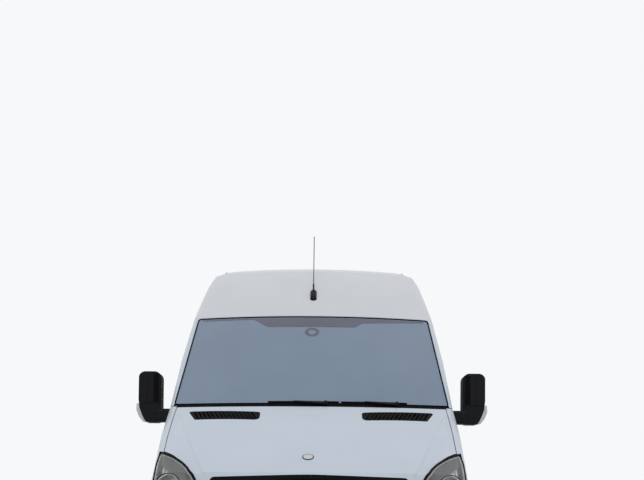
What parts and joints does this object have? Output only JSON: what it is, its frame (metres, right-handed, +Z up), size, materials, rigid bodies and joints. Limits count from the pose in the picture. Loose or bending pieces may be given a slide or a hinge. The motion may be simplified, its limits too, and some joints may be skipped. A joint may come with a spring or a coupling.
{
  "type": "minibus",
  "caption": "High-roofed minibus with a sloping nose, opening cab doors, rear doors and bonnet, rows of seats, steered front wheels and wheels that turn.",
  "frame": {"origin": "on the ground, under the middle of the vehicle", "axes": "-Y is forwards, +X is the vehicle's left, +Z is up"},
  "size_m": [2.4124, 5.9099, 2.8286],
  "materials": {
    "body_paint": "satin",
    "window_glass": "polished",
    "lamp_clear": "gloss",
    "lamp_red": "gloss",
    "black_plastic": "matte",
    "grey_plastic": "matte",
    "cloth_grey": "woven",
    "tyre_rubber": "matte",
    "rim_silver": "satin",
    "chassis_black": "satin",
    "floor_covering": "matte",
    "engine_cast": "cast",
    "bright_steel": "brushed"
  },
  "bodies": {
    "body": {"roof": "body_paint", "screen_frame": "body_paint", "windscreen": "window_glass", "side_left": "body_paint", "side_right": "body_paint", "sliding_door": "body_paint", "glass_left": "window_glass", "glass_right": "window_glass", "tail_lamps": "lamp_red", "headlamp_left": "lamp_clear", "headlamp_right": "lamp_clear", "front_bumper": "black_plastic", "rear_bumper": "black_plastic", "wing_left": "body_paint", "wing_right": "body_paint", "wheel_housings": "chassis_black", "floor": "floor_covering", "bulkhead": "chassis_black", "door_frames": "black_plastic", "dashboard": "grey_plastic", "steering_wheel": "black_plastic", "front_seats": "cloth_grey", "rear_seats": "cloth_grey", "chassis_frame": "chassis_black", "engine_block": "engine_cast", "radiator": "chassis_black", "gearbox_shaft": "engine_cast", "fuel_tank": "black_plastic", "exhaust": "bright_steel", "front_suspension": "chassis_black", "rear_axle": "chassis_black", "aerial": "black_plastic", "wipers": "black_plastic"},
    "bonnet": {"bonnet": "body_paint", "grille": "black_plastic", "bonnet_vents": "black_plastic"},
    "front_door_left": {"door_left": "body_paint", "door_glass_left": "window_glass", "mirror_left": "black_plastic"},
    "back_door_left": {"rear_door_left": "body_paint", "rear_glass_left": "window_glass"},
    "knuckle_left": {"knuckle_left": "engine_cast"},
    "wheel_front_left": {"tyre_front_left": "tyre_rubber", "rim_front_left": "rim_silver"},
    "wheel_rear_left": {"tyre_rear_left": "tyre_rubber", "rim_rear_left": "rim_silver"},
    "front_door_right": {"door_right": "body_paint", "door_glass_right": "window_glass", "mirror_right": "black_plastic"},
    "back_door_right": {"rear_door_right": "body_paint", "rear_glass_right": "window_glass"},
    "knuckle_right": {"knuckle_right": "engine_cast"},
    "wheel_front_right": {"tyre_front_right": "tyre_rubber", "rim_front_right": "rim_silver"},
    "wheel_rear_right": {"tyre_rear_right": "tyre_rubber", "rim_rear_right": "rim_silver"}
  },
  "joints": [
    {"name": "front_door_left_hinge", "type": "hinge", "parent": "body", "child": "front_door_left", "pos_m": [0.945, -1.759, 1.2], "axis": [0, 0, -1], "range_deg": [0, 70]},
    {"name": "back_door_left_hinge", "type": "hinge", "parent": "body", "child": "back_door_left", "pos_m": [0.756, 2.915, 0.56], "axis": [0, 0.0335, -0.9994], "range_deg": [0, 180]},
    {"name": "steer_left", "type": "hinge", "parent": "body", "child": "knuckle_left", "pos_m": [0.8, -1.951, 0.356], "axis": [0, 0, 1], "range_deg": [-35, 35]},
    {"name": "spin_front_left", "type": "hinge", "parent": "knuckle_left", "child": "wheel_front_left", "pos_m": [0.858, -1.951, 0.356], "axis": [1, 0, 0], "continuous": true},
    {"name": "spin_rear_left", "type": "hinge", "parent": "body", "child": "wheel_rear_left", "pos_m": [0.858, 1.714, 0.356], "axis": [1, 0, 0], "continuous": true},
    {"name": "front_door_right_hinge", "type": "hinge", "parent": "body", "child": "front_door_right", "pos_m": [-0.945, -1.759, 1.2], "axis": [0, 0, 1], "range_deg": [0, 70]},
    {"name": "back_door_right_hinge", "type": "hinge", "parent": "body", "child": "back_door_right", "pos_m": [-0.756, 2.915, 0.56], "axis": [0, -0.0335, 0.9994], "range_deg": [0, 180]},
    {"name": "steer_right", "type": "hinge", "parent": "body", "child": "knuckle_right", "pos_m": [-0.8, -1.951, 0.356], "axis": [0, 0, 1], "range_deg": [-35, 35]},
    {"name": "spin_front_right", "type": "hinge", "parent": "knuckle_right", "child": "wheel_front_right", "pos_m": [-0.858, -1.951, 0.356], "axis": [1, 0, 0], "continuous": true},
    {"name": "spin_rear_right", "type": "hinge", "parent": "body", "child": "wheel_rear_right", "pos_m": [-0.858, 1.714, 0.356], "axis": [1, 0, 0], "continuous": true},
    {"name": "bonnet_hinge", "type": "hinge", "parent": "body", "child": "bonnet", "pos_m": [0, -1.91, 1.436], "axis": [-1, 0, 0], "range_deg": [0, 60]}
  ],
  "couplings": [
    {"joint": "steer_right", "follows": "steer_left", "ratio": 1}
  ]
}
